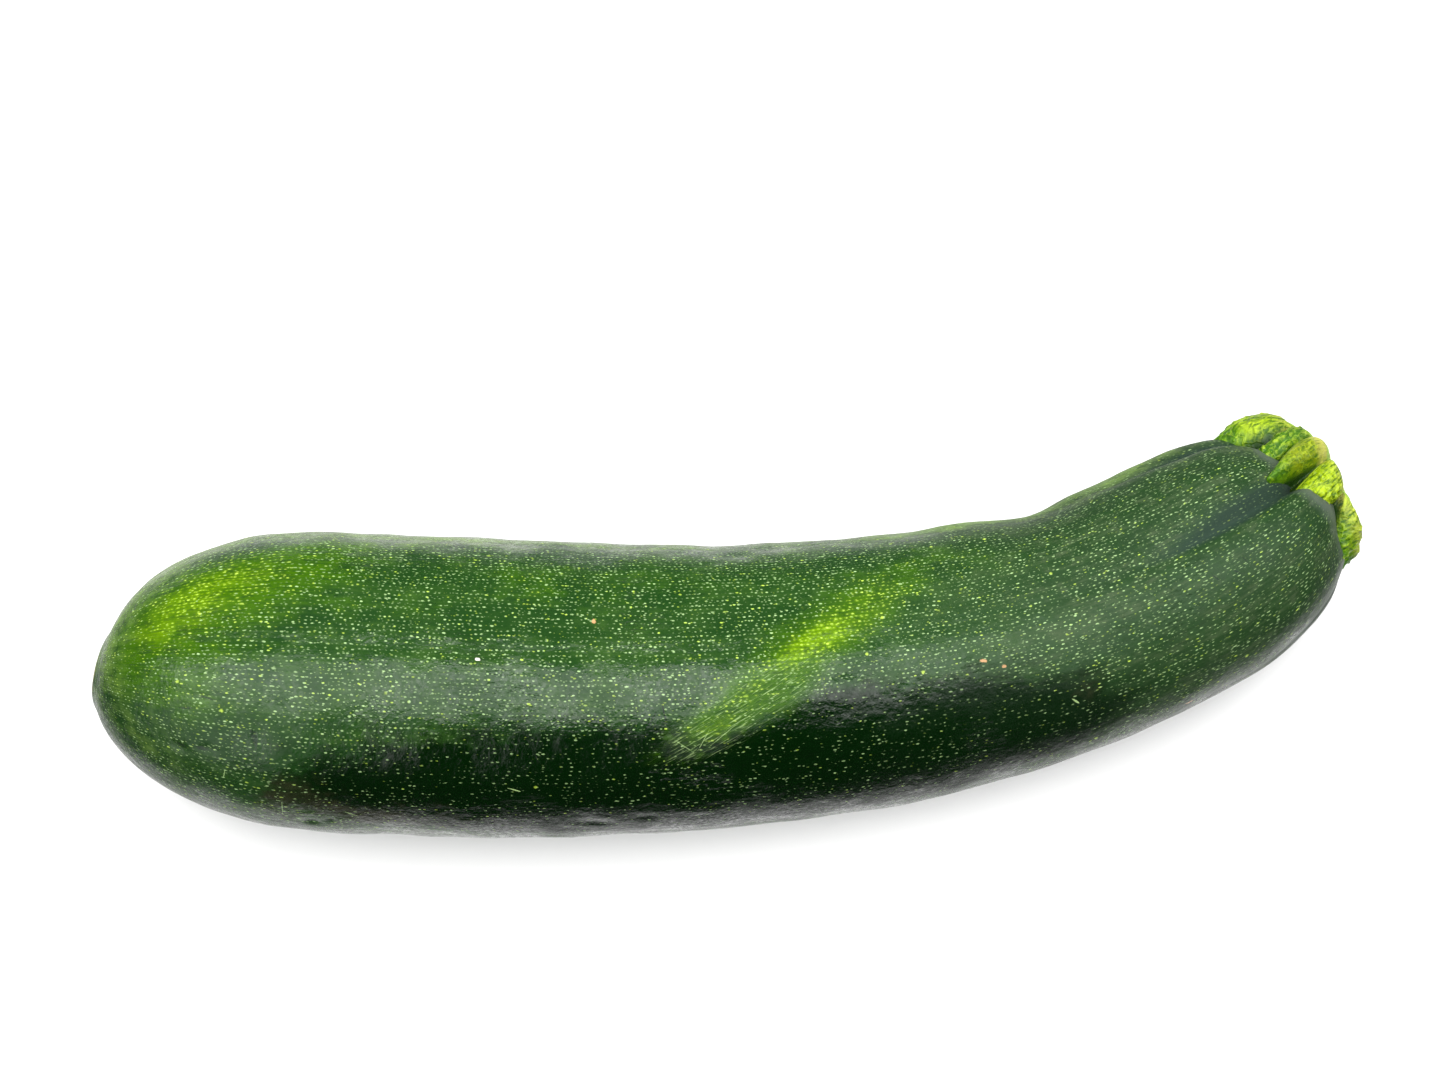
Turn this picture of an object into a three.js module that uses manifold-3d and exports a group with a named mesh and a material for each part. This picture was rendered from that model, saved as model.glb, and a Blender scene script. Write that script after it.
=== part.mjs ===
// A picked courgette, lying on its side. Millimetres, +Z up.
// The blossom end points to -X, the cut stalk to +X, and the neck bends towards +Y.
// The origin is the middle of the outline on the surface that the fruit lies on.
//
// Both pieces are unit spheres whose vertices are moved by a formula. A place on the skin is given by
// how far along the bent axis it is and by its turn about that axis: 0 towards +Y, 90 degrees upwards.
import * as THREE from "three";
import { mergeVertices } from "three/addons/utils/BufferGeometryUtils.js";
import Module from "manifold-3d";

const wasm = await Module();
wasm.setup();

const { clamp, degToRad, lerp, smoothstep } = THREE.MathUtils;

// The axis starts nearly straight and turns faster and faster towards the stalk.
const axis = {
  length: 210.05,
  startHeading: degToRad(-3.43),
  turn: degToRad(44.81),
  power: 2.72,
  integrationSteps: 48,
};

// The fruit is fullest near the blossom end, narrows to a neck, and closes over both ends.
const trunk = {
  bellyRadius: 24.7,
  neckRadius: 20,
  narrowsFrom: 0.28 * axis.length,
  narrowsTo: 1.02 * axis.length,
};
const blossomEnd = { length: 39.9 };
const stemEnd = { length: 31, squareness: 3.25 };

// Five rounded shoulders stand round the stalk, and the valleys between them fade out along the neck.
// The first valley has a steep and a gentle side, and the shoulders on its steep side are the wider ones.
// At the end the shoulders rise and slump unevenly.
const shoulders = {
  count: 5,
  valleyTurn: degToRad(84),
  skew: degToRad(20),
  valleySharpness: 1.6,
  steepSharpness: 5,
  gentleSharpness: 1.3,
  trunkDepth: 0.014,
  stemDepth: 0.095,
  deepestExtra: 0.9,
  deepestTurn: degToRad(62),
  deepensFrom: 0.77 * axis.length,
  deepening: 1.25,
  crestRise: 1.05,
  riseBase: 0.7,
  riseTurn: degToRad(130),
  slump: { depth: 1.7, turn: degToRad(138), halfTurn: degToRad(14) },
  valleyDip: 2.4,
  otherDips: 0.2,
  nearFrom: 0.5,
  nearTo: 0.9,
  crestRadius: 0.5,
};

// Long shallow swellings: height, waves along the fruit, waves round it, and where they start.
const swellings = [
  { height: 0.07, along: 3.3, round: 2, start: 0.4 },
  { height: 0.07, along: 7.1, round: -3, start: 2.1 },
  { height: 0.06, along: 11.7, round: 4, start: 4.4 },
  { height: 0.05, along: 17.3, round: -5, start: 1.3 },
];

// The belly is a little fuller near the blossom end.
const belly = { height: 0.4, at: 42, halfLength: 32 };

// The skin is pinched on the inside of the bend.
const pinch = { depth: 1.33, at: 164, turn: degToRad(15), halfLength: 9, halfTurn: degToRad(55) };

// Where the flower dropped off: a shallow dish with a corky rim and a small knob.
const blossomScar = {
  radius: 5.6,
  dishDepth: 0.9,
  dishRadius: 3.9,
  dishSquareness: 4,
  rimHeight: 0.4,
  rimWidth: 1.3,
  knobHeight: 0.7,
  knobRadius: 1.5,
};

// Beside the scar, on the inside of the bend, the end is a little flattened.
const cheek = { depth: 2.86, aside: 6.4, halfWidth: 11, halfHeight: 11 };

// The underside is pressed flat where the fruit lies.
const restDepth = 0.6;

// The stalk is a short stub of ten round ribs that meet in deep creases. Four of them are feet that
// spread as they run down. A rib's turn, half width and lean (for each millimetre down) are in degrees,
// and tip is how far below the end of the fruit's axis it ends.
const ribs = [
  { turn: 5, halfTurn: 26, crest: 11.1, spread: 5.9, reach: 10, tip: 5.6, point: 0.42, lean: 0 },
  { turn: 42, halfTurn: 14, crest: 11, spread: 1.8, reach: 8, tip: 9, point: 0.3, lean: 0 },
  { turn: 68, halfTurn: 13.5, crest: 10.9, spread: 5.2, reach: 12, tip: 9.5, point: 1, lean: 0.25 },
  { turn: 100, halfTurn: 18.5, crest: 11, spread: 1.8, reach: 7, tip: 9, point: 0.3, lean: 0 },
  { turn: 138, halfTurn: 26, crest: 12.3, spread: 2.2, reach: 6, tip: 6, point: 0.5, lean: 1.2 },
  { turn: 178, halfTurn: 18, crest: 12.2, spread: 1.6, reach: 6, tip: 9, point: 0.3, lean: 0 },
  { turn: 211, halfTurn: 19, crest: 11, spread: 2, reach: 7, tip: 9, point: 0.3, lean: 0 },
  { turn: 250, halfTurn: 25, crest: 11, spread: 4.4, reach: 9, tip: 7, point: 0.8, lean: 0.5 },
  { turn: 289, halfTurn: 18, crest: 10.8, spread: 2, reach: 7, tip: 9, point: 0.3, lean: 0 },
  { turn: 322, halfTurn: 19, crest: 11.2, spread: 4.2, reach: 9, tip: 7, point: 0.8, lean: 0.3 },
];
const stub = {
  core: 8.2,
  coreSpread: 1.8,
  coreReach: 8,
  wallAcross: 1.2,
  wallSlope: 1.5,
  wallHeight: 0.5,
  thinnest: 0.001,
  widestAt: 2,
  edgeRounding: 0.8,
  edgeDepth: 1.6,
  scallop: 1.6,
  dish: 0.5,
  rootDepth: 9,
  rootRadius: 8,
  rootFlare: 0.2,
  rimSharpness: 8,
};

// It was cut off across the top and again on a slant, low on the side that faces away from the bend.
const cut = { level: 7.6, slope: -0.13, slantLevel: 5.9, slantSlope: 0.38, rounding: 1.2 };

// Clear space between the fruit and the stalk that sits on it.
const seatGap = 0.3;

// Rows and columns of each piece, and the shares of the rows that its parts take.
const mesh = {
  fruitAround: 60,
  fruitAlong: 58,
  stalkAround: 108,
  stalkAlong: 20,
  blossomShare: 0.22,
  blossomBunching: 1.35,
  stemShare: 0.36,
  rootShare: 0.1,
  rimShare: 0.7,
  mergeWithin: 0.0001,
};

function headingAt(s) {
  return axis.startHeading + axis.turn * (s / axis.length) ** axis.power;
}

// Simpson's rule over the heading gives the place in plan.
function axisPoint(s) {
  const n = axis.integrationSteps;
  const point = new THREE.Vector3(0, 0, trunkRadius(s) - restDepth);
  for (let i = 0; i <= n; i++) {
    const weight = (i === 0 || i === n ? 1 : i % 2 ? 4 : 2) * (s / n / 3);
    const heading = headingAt((s * i) / n);
    point.x += weight * Math.cos(heading);
    point.y += weight * Math.sin(heading);
  }
  return point;
}

function trunkRadius(s) {
  return lerp(trunk.bellyRadius, trunk.neckRadius, smoothstep(s, trunk.narrowsFrom, trunk.narrowsTo));
}

// The point at a radius and a turn about the axis, moved forward along the axis' direction there.
function aboutAxis(s, forward, radius, turn) {
  const point = axisPoint(s);
  const heading = headingAt(s);
  const sideways = radius * Math.cos(turn);
  point.x += forward * Math.cos(heading) - sideways * Math.sin(heading);
  point.y += forward * Math.sin(heading) + sideways * Math.cos(heading);
  point.z += radius * Math.sin(turn);
  return point;
}

// 1 round the first valley and 0 in the others.
function nearFirstValley(turn) {
  return smoothstep(Math.cos(turn - shoulders.valleyTurn), shoulders.nearFrom, shoulders.nearTo);
}

// 1 in the middle of a valley and 0 on the crest of a shoulder.
function valleyAt(turn) {
  const { count, valleyTurn, skew, valleySharpness, steepSharpness, gentleSharpness } = shoulders;
  const skewed = turn - valleyTurn - skew * (1 - Math.cos(turn - valleyTurn));
  const across = Math.abs(Math.sin((count * skewed) / 2));
  const sided = Math.sin(count * skewed) > 0 ? steepSharpness : gentleSharpness;
  return (1 - across) ** lerp(valleySharpness, sided, nearFirstValley(turn));
}

// How far the shoulders stand forward of the fruit's rounded end, or the valleys behind it.
function crownAt(turn, valley) {
  const { crestRise, riseBase, riseTurn, slump, valleyDip, otherDips } = shoulders;
  const slumped = slump.depth * Math.exp(-(((turn - slump.turn) / slump.halfTurn) ** 2));
  const rise = crestRise * (riseBase + Math.cos(2 * (turn - riseTurn))) - slumped;
  const dip = valleyDip * lerp(otherDips, 1, nearFirstValley(turn));
  return lerp(rise, -dip, valley);
}

// A share from 0 to 1 along the skin, from the blossom tip to under the stalk, becomes a distance along
// the axis and how much of the trunk's radius the fruit has there.
function meridian(share) {
  const { blossomShare, stemShare } = mesh;
  const stemStart = axis.length - stemEnd.length;
  if (share < blossomShare) {
    const angle = ((share / blossomShare) ** mesh.blossomBunching * Math.PI) / 2;
    return { s: blossomEnd.length * (1 - Math.cos(angle)), fullness: Math.sin(angle), atStem: false };
  }
  if (share <= 1 - stemShare) {
    const along = (share - blossomShare) / (1 - stemShare - blossomShare);
    return { s: lerp(blossomEnd.length, stemStart, along), fullness: 1, atStem: false };
  }
  const angle = (((share - 1 + stemShare) / stemShare) * Math.PI) / 2;
  const power = 2 / stemEnd.squareness;
  const fullness = share < 1 ? Math.cos(angle) ** power : 0;
  return { s: stemStart + stemEnd.length * Math.sin(angle) ** power, fullness, atStem: true };
}

function swellingAt(s, turn) {
  let height = 0;
  for (const w of swellings) {
    height += w.height * Math.sin((w.along * 2 * Math.PI * s) / axis.length + w.round * turn + w.start);
  }
  const away = Math.atan2(Math.sin(turn - pinch.turn), Math.cos(turn - pinch.turn));
  const bell = Math.exp(-(((s - pinch.at) / pinch.halfLength) ** 2) - (away / pinch.halfTurn) ** 2);
  return height - pinch.depth * bell + belly.height * Math.exp(-(((s - belly.at) / belly.halfLength) ** 2));
}

// How far the scar's surface stands out of the rounded tip, at a radius from its middle.
function scarRelief(radius) {
  const scar = blossomScar;
  const dish = scar.dishDepth * Math.exp(-((radius / scar.dishRadius) ** scar.dishSquareness));
  const rim = scar.rimHeight * Math.exp(-(((radius - scar.radius) / scar.rimWidth) ** 2));
  const knob = scar.knobHeight * Math.exp(-((radius / scar.knobRadius) ** 2));
  return rim + knob - dish;
}

// How far the flattened cheek lies behind the rounded end.
function cheekRelief(radius, turn) {
  const across = (radius * Math.cos(turn) - cheek.aside) / cheek.halfWidth;
  const up = (radius * Math.sin(turn)) / cheek.halfHeight;
  return cheek.depth * Math.exp(-(across ** 2) - up ** 2);
}

// The skin's point in space. A positive offset gives the same fruit a little larger.
function skinPoint(share, turn, offset) {
  const { s, fullness, atStem } = meridian(share);
  const { trunkDepth, stemDepth, deepestExtra, deepestTurn, deepensFrom, deepening, crestRadius } = shoulders;
  const valley = valleyAt(turn);
  const fullDepth = stemDepth * (1 + deepestExtra * Math.cos(turn - deepestTurn));
  const depth = lerp(trunkDepth, fullDepth, smoothstep(s, deepensFrom, axis.length) ** deepening);
  const radius = (trunkRadius(s) * (1 - depth * valley) + swellingAt(s, turn) + offset) * fullness;
  const crest = Math.sin(Math.PI * fullness ** (Math.log(0.5) / Math.log(crestRadius)));

  let forward = offset * (atStem ? 1 : -1) * (1 - fullness);
  if (atStem) {
    forward += crest * crownAt(turn, valley);
  } else if (s < blossomEnd.length) {
    forward += (1 - s / blossomEnd.length) * cheekRelief(radius, turn);
    forward -= scarRelief(radius);
  }

  return aboutAxis(s, forward, radius, turn);
}

// A closed geometry: a sphere whose vertices go where place(share from pole to pole, turn) says.
function shapedSphere(around, along, place) {
  const geometry = new THREE.SphereGeometry(1, around, along);
  const { position, uv } = geometry.attributes;
  for (let i = 0; i < position.count; i++) {
    const point = place(uv.getY(i), 2 * Math.PI * uv.getX(i));
    position.setXYZ(i, point.x, point.y, point.z);
  }
  geometry.deleteAttribute("normal");
  geometry.deleteAttribute("uv");
  return mergeVertices(geometry, mesh.mergeWithin);
}

function toSolid(geometry) {
  return new wasm.Manifold(
    new wasm.Mesh({
      numProp: 3,
      vertProperties: geometry.attributes.position.array,
      triVerts: new Uint32Array(geometry.index.array),
    }),
  );
}

function toGeometry(solid) {
  const { vertProperties, triVerts } = solid.getMesh();
  const geometry = new THREE.BufferGeometry();
  geometry.setAttribute("position", new THREE.BufferAttribute(vertProperties, 3));
  geometry.setIndex(new THREE.BufferAttribute(triVerts, 1));
  geometry.computeVertexNormals();
  return geometry;
}

function fruitGeometry(offset) {
  return shapedSphere(mesh.fruitAround, mesh.fruitAlong, (share, turn) => skinPoint(share, turn, offset));
}

function fruitSolid() {
  const size = 2 * axis.length;
  const ground = new THREE.BoxGeometry(size, size, size).translate(0, 0, -size / 2);
  ground.deleteAttribute("normal");
  ground.deleteAttribute("uv");
  return toSolid(fruitGeometry(0)).subtract(toSolid(mergeVertices(ground)));
}

// The lesser of two heights, with the corner between them rounded.
function softMin(a, b, rounding) {
  return (a + b - Math.hypot(a - b, rounding)) / 2;
}

// The ribs at a height above the fruit's end: 1 on a crest, 0 in a crease, and the radius there.
function ribsAt(height, turn) {
  const core = stub.core + stub.coreSpread * smoothstep(cut.level - height, 0, stub.coreReach);
  let fullest = 0;
  let radius = core;
  for (const rib of ribs) {
    const reached = clamp((cut.level - height) / rib.reach, 0, 1);
    const crest = rib.crest + rib.spread * (1 - (1 - reached) ** 2);
    const width = clamp((height + rib.tip) / (stub.widestAt + rib.tip), 0, 1) ** rib.point;
    const middle = degToRad(rib.turn + rib.lean * (cut.level - height));
    const away = Math.atan2(Math.sin(turn - middle), Math.cos(turn - middle));
    const across = away / degToRad(rib.halfTurn) / Math.max(width, stub.thinnest);
    const wall = clamp((stub.wallAcross - Math.abs(across)) * stub.wallSlope, 0, stub.wallHeight);
    const lobe = Math.max(wall, Math.sqrt(Math.max(0, 1 - across * across)));
    fullest = Math.max(fullest, lobe);
    radius = Math.max(radius, core + (crest - core) * lobe);
  }
  return { fullest, radius };
}

// The height of the cut over a place that lies so far towards the inside of the bend.
function cutHeight(aside) {
  return softMin(cut.level + cut.slope * aside, cut.slantLevel + cut.slantSlope * aside, cut.rounding);
}

// The stalk in its own frame: its axis leaves the fruit's end, and turn is about that axis.
function stalkPoint(share, turn) {
  const { rootDepth, rootRadius, rootFlare, edgeRounding, edgeDepth, scallop, rimSharpness, dish } = stub;
  const { rootShare, rimShare } = mesh;
  if (share <= rootShare) {
    return { radius: (rootRadius * share) / rootShare, height: -rootDepth };
  }
  const top = ribsAt(cut.level, turn);
  const drop = edgeRounding + scallop * (1 - top.fullest);
  const rimRadius = top.radius - edgeRounding;
  const rim = cutHeight(rimRadius * Math.cos(turn)) - drop;
  if (share <= rimShare) {
    const up = (share - rootShare) / (rimShare - rootShare);
    const height = lerp(-rootDepth, rim, up);
    const rounding = edgeRounding * clamp(1 - (rim - height) / edgeDepth, 0, 1) ** 2;
    const ribbed = ribsAt(height, turn).radius - rounding;
    return { radius: lerp(rootRadius, ribbed, smoothstep(up, 0, rootFlare)), height };
  }
  const out = 1 - (share - rimShare) / (1 - rimShare);
  const radius = (ribsAt(rim, turn).radius - edgeRounding) * out;
  const sunk = drop * out ** rimSharpness + dish * (1 - out * out);
  return { radius, height: cutHeight(radius * Math.cos(turn)) - sunk };
}

function stalkSolid() {
  const geometry = shapedSphere(mesh.stalkAround, mesh.stalkAlong, (share, turn) => {
    const { radius, height } = stalkPoint(share, turn);
    return aboutAxis(axis.length, height, radius, turn);
  });
  return toSolid(geometry).subtract(toSolid(fruitGeometry(seatGap)));
}

function namedMesh(name, solid, material) {
  const made = new THREE.Mesh(toGeometry(solid), material);
  made.name = name;
  return made;
}

const skin = new THREE.MeshStandardMaterial({ color: 0x2f5524, roughness: 0.42, metalness: 0 });
const stalkGreen = new THREE.MeshStandardMaterial({ color: 0x87a81c, roughness: 0.5, metalness: 0 });

const courgette = new THREE.Group();
courgette.add(namedMesh("fruit", fruitSolid(), skin));
courgette.add(namedMesh("stalk", stalkSolid(), stalkGreen));

// The middle of the outline goes to the origin. The underside is already at Z = 0.
const middle = new THREE.Box3().setFromObject(courgette, true).getCenter(new THREE.Vector3());
courgette.position.set(-middle.x, -middle.y, 0);

export default courgette;
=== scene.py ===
# A courgette lying on a pale floor: its speckled skin and its cut, ribbed stalk.
from math import log, pi, radians, sin, cos
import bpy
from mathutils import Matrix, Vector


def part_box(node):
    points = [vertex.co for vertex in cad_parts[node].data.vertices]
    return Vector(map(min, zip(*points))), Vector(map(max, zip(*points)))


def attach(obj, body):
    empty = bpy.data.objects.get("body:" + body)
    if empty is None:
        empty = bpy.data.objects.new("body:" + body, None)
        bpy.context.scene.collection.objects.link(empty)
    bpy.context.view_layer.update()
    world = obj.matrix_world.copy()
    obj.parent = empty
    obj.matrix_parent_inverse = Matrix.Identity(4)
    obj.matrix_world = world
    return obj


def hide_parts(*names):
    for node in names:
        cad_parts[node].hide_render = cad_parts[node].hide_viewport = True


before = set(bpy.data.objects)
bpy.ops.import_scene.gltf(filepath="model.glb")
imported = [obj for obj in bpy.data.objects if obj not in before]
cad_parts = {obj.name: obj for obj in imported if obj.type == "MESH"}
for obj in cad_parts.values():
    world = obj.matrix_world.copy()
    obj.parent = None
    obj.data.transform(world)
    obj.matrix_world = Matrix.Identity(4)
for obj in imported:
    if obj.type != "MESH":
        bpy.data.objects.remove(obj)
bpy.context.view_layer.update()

from types import SimpleNamespace
import bpy
from mathutils import Vector

body = "root"
mm = 0.001
degree = pi / 180
bench = {"tree": None}  # the node tree that is being built
groups = {}
geometryTree = "GeometryNodeTree"
spotKeys = ("atAlong", "atTurn", "halfLength", "halfWidth", "tilt")  # what places a knock, a tone or a mark

view = {
    "elevation": radians(80),
    "distance": 0.7,
    "frameWidth": 0.2394,  # what the picture's width takes in, at the courgette
    "middle": Vector((0, 0, 0.024)),
    "aimRight": -0.00142,
    "aimUp": 0.01312,
    "sensor": 36,
    "clipEnd": 20,
}


def link(thing):
    bpy.context.scene.collection.objects.link(thing)


def makeCamera():
    towards = Vector((0, -cos(view["elevation"]), sin(view["elevation"])))
    up = Vector((0, sin(view["elevation"]), cos(view["elevation"])))
    aim = view["middle"] + Vector((view["aimRight"], 0, 0)) + up * view["aimUp"]
    place = aim + towards * view["distance"]
    data = bpy.data.cameras.new("camera")
    data.sensor_width = view["sensor"]
    data.lens = view["sensor"] * view["distance"] / view["frameWidth"]
    data.clip_end = view["clipEnd"]
    camera = bpy.data.objects.new("camera", data)
    camera.location = place
    camera.rotation_euler = (aim - place).to_track_quat("-Z", "Y").to_euler()
    link(camera)
    bpy.context.scene.camera = camera


# Radiance is what a softbox would show in a mirror, where a lit white sheet is about 1.
softboxes = {
    "overhead": {"place": (0.0, -0.145, 1.0), "facing": (0, 0, -1), "size": (3.2, 0.87), "radiance": 2.4},
    "above": {"place": (0.0, 0.2, 1.3), "facing": (0, -0.15, -1), "size": (2.4, 1.8), "radiance": 1.25},
    "behind": {"place": (0.0, 1.3, 0.9), "facing": (0, -1, -0.6), "size": (3.0, 1.3), "radiance": 2.9},
}
wattsPerArea = 4  # at a radiance of 1
studio = {
    "dim": 0.012,  # the dark room past the edge of the sheet
    "front": (-0.42, -0.8, 0.74),  # the white sheet in front: where it starts and is full, as heights of a
    "back": (-0.1, -0.65, 0.68),  # unit arrow, and how bright it is. Behind, it curves up as a backdrop.
    "turnsBack": (0.0, 0.35),  # from the sheet in front to the one behind
    "leftEnd": (-0.9, -0.3, 0.4, 1.0),  # where the sheet ends on the left, and how bright it is on each side
    "lowest": 0.05,  # no softbox shows below this height
    "boxRadiance": 2.5,  # the overhead softbox as the skin mirrors it, with soft ends
    "boxFront": (-0.68, -0.5),
    "boxBack": (0.31, 0.27),
    "boxEnds": (2.6, 1.3),
    "glow": 1.25,  # a soft light to the left, in front
    "glowFrom": (-0.62, -0.62, 0.48),
    "glowSpread": (0.78, 0.98),
    "backdrop": 0.93,
}


def makeLights():
    for name, box in softboxes.items():
        data = bpy.data.lights.new(name, "AREA")
        data.shape = "RECTANGLE"
        data.size, data.size_y = box["size"]
        data.energy = box["radiance"] * wattsPerArea * data.size * data.size_y
        light = bpy.data.objects.new(name, data)
        light.location = box["place"]
        light.rotation_euler = Vector(box["facing"]).to_track_quat("-Z", "Y").to_euler()
        light.visible_glossy = False
        link(light)
    bpy.context.scene.view_settings.view_transform = "Standard"


# A dim room with a white sheet below, the softboxes where the skin mirrors them, and a pale backdrop
# behind everything the camera sees.
def makeStudio():
    world = bpy.data.worlds.new("studio")
    world.use_nodes = True
    tree = bench["tree"] = world.node_tree
    towards = Field(addNode("ShaderNodeTexCoord").outputs["Generated"])
    sideways, backwards, up = towards.parts()
    sides = [up.ramp(start, full, studio["dim"], strength) for start, full, strength in
             (studio["front"], studio["back"])]
    room = between(*sides, backwards.ramp(*studio["turnsBack"])) * sideways.ramp(*studio["leftEnd"])
    overhead = up.over(studio["lowest"])
    height = up.atLeast(studio["lowest"])
    across, deep = sideways / height, backwards / height
    box = deep.ramp(*studio["boxFront"]) * deep.ramp(*studio["boxBack"])
    box = box * across.size().ramp(*studio["boxEnds"])
    x, y, z = studio["glowFrom"]
    glow = (sideways * x + backwards * y + up * z).ramp(*studio["glowSpread"])
    mirrored = (box * overhead * studio["boxRadiance"]).atLeast(glow * studio["glow"])
    path = addNode("ShaderNodeLightPath")
    seen, glossy = Field(path.outputs["Is Camera Ray"]), Field(path.outputs["Is Glossy Ray"])
    strength = between(room + mirrored * glossy, studio["backdrop"], seen)
    plug(strength, tree.nodes["Background"].inputs["Strength"])
    tree.nodes["Background"].inputs["Color"].default_value = (1, 1, 1, 1)
    bpy.context.scene.world = world


def plug(value, slot):
    if isinstance(value, Field):
        value = value.socket
    if isinstance(value, bpy.types.NodeSocket):
        bench["tree"].links.new(value, slot)
    else:
        slot.default_value = value


def addNode(kind, inputs=None, **settings):
    node = bench["tree"].nodes.new(kind)
    for name, value in settings.items():
        setattr(node, name, value)
    for name, value in (inputs or {}).items():
        plug(value, next(slot for slot in node.inputs if slot.name == name and slot.enabled))
    return node


def maths(operation, *values):
    node = addNode("ShaderNodeMath", operation=operation)
    for value, slot in zip(values, node.inputs):
        plug(value, slot)
    return Field(node.outputs[0])


class Field:  # a value that changes over the surface, with ordinary arithmetic
    def __init__(self, socket):
        self.socket = socket

    def do(self, operation, *others):
        return maths(operation, self, *others)

    def __neg__(self):
        return self.do("MULTIPLY", -1)

    def ramp(self, low, high, start=0.0, end=1.0):
        node = addNode("ShaderNodeMapRange", interpolation_type="SMOOTHSTEP")
        for value, slot in zip((self, low, high, start, end), node.inputs):
            plug(value, slot)
        return Field(node.outputs[0])

    def shifted(self, amount):
        node = addNode("ShaderNodeVectorMath", {"Vector": self})
        plug(amount, node.inputs[1])
        return Field(node.outputs[0])

    def parts(self):
        return [Field(socket) for socket in addNode("ShaderNodeSeparateXYZ", {"Vector": self}).outputs]


fieldWords = {
    "sin": "SINE", "cos": "COSINE", "exp": "EXPONENT", "root": "SQRT", "size": "ABSOLUTE", "floor": "FLOOR",
    "part": "FRACT", "atLeast": "MAXIMUM", "atMost": "MINIMUM", "over": "GREATER_THAN", "under": "LESS_THAN",
    "__pow__": "POWER"}
fieldSigns = {"add": "ADD", "sub": "SUBTRACT", "mul": "MULTIPLY", "truediv": "DIVIDE"}


# Gives a field a word or a sign for one operation. A turned one has the field on the right of the sign.
def teachField(word, operation, turned=False):
    def run(field, *others):
        values = (*others, field) if turned else (field, *others)
        return maths(operation, *values)
    setattr(Field, word, run)


for word, operation in fieldWords.items():
    teachField(word, operation)
for sign, operation in fieldSigns.items():
    teachField(f"__{sign}__", operation)
    teachField(f"__r{sign}__", operation, turned=True)


def between(start, end, share):
    return start + (end - start) * share


def vector(x, y, z):
    return Field(addNode("ShaderNodeCombineXYZ", {"X": x, "Y": y, "Z": z}).outputs[0])


def noise(place, scale, detail=2.0, roughness=0.5):
    node = addNode("ShaderNodeTexNoise", {
        "Vector": place, "Scale": scale, "Detail": detail, "Roughness": roughness})
    return Field(node.outputs[0])


def swing(place, scale, detail=2.0, roughness=0.5):
    return noise(place, scale, detail, roughness) * 2 - 1


def lesser(first, second, rounding):
    apart = first - second
    return (first + second - (apart * apart + rounding * rounding).root()) * 0.5


# 1 in the middle of a spot and soon 0 beyond its half width.
def bell(away, halfWidth, power=2):
    return (-((away / halfWidth) ** power)).exp()


# The same turn, the short way round.
def shortWay(turn):
    return turn.sin().do("ARCTAN2", turn.cos())


# A group or a tree of geometry, with its named inputs. What is then made goes into it.
def openGroup(name, inputs, outputs, kind="ShaderNodeTree"):
    group = bench["tree"] = bpy.data.node_groups.new(name, kind)
    kinds = {type(None): "NodeSocketVector", int: "NodeSocketInt", float: "NodeSocketFloat"}
    for key, value in inputs.items():
        socket = group.interface.new_socket(key, in_out="INPUT", socket_type=kinds[type(value)])
        if value is not None:
            socket.default_value = value
    for key in outputs:
        socketType = "NodeSocketGeometry" if key == "Geometry" else "NodeSocketFloat"
        group.interface.new_socket(key, in_out="OUTPUT", socket_type=socketType)
    start = addNode("NodeGroupInput")
    return SimpleNamespace(**{key: Field(start.outputs[key]) for key in inputs})


def closeGroup(**results):
    end = addNode("NodeGroupOutput")
    for key, value in results.items():
        plug(value, end.inputs[key])
    return bench["tree"]


def useGroup(name, **inputs):
    group = groups[name]
    kind = "GeometryNodeGroup" if group.bl_idname == geometryTree else "ShaderNodeGroup"
    node = addNode(kind, node_tree=group)
    for key, value in inputs.items():
        plug(value, node.inputs[key])
    return [Field(socket) for socket in node.outputs]


def closeTree(geometry, finish):
    whole = addNode("GeometryNodeRealizeInstances", {"Geometry": geometry})
    smooth = addNode("GeometryNodeSetShadeSmooth", {"Geometry": whole.outputs[0], "Shade Smooth": True})
    coated = addNode("GeometryNodeSetMaterial", {"Geometry": smooth.outputs[0], "Material": finish})
    return closeGroup(Geometry=coated.outputs[0])


# Runs a tree and keeps its result as a plain mesh. The modifier is gone before anything else sees it.
def meshFromTree(name, tree, values):
    piece = bpy.data.objects.new(name, bpy.data.meshes.new(name))
    link(piece)
    modifier = piece.modifiers.new(name, "NODES")
    modifier.node_group = tree
    for item in tree.interface.items_tree:
        if item.in_out == "INPUT":
            modifier[item.identifier] = values[item.name]
    graph = bpy.context.evaluated_depsgraph_get()
    mesh = bpy.data.meshes.new_from_object(
        piece.evaluated_get(graph), preserve_all_data_layers=True, depsgraph=graph)
    piece.modifiers.clear()
    piece.data = mesh
    mesh.name = name
    return piece


def storeOn(geometry, name, value, kind="FLOAT", domain="POINT"):
    return addNode("GeometryNodeStoreNamedAttribute", {
        "Geometry": geometry, "Name": name, "Value": value}, data_type=kind, domain=domain).outputs[0]


# Works a set of values out once for each point, so that what follows only reads them.
def workedOut(geometry, values):
    node = addNode("GeometryNodeCaptureAttribute")
    plug(geometry, node.inputs["Geometry"])
    for key in values:
        node.capture_items.new("FLOAT", key)
    for key, value in values.items():
        plug(value, node.inputs[key])
    return node.outputs["Geometry"], {key: Field(node.outputs[key]) for key in values}


mergeWithin = 0.004  # mm, for the seam and the poles


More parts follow.
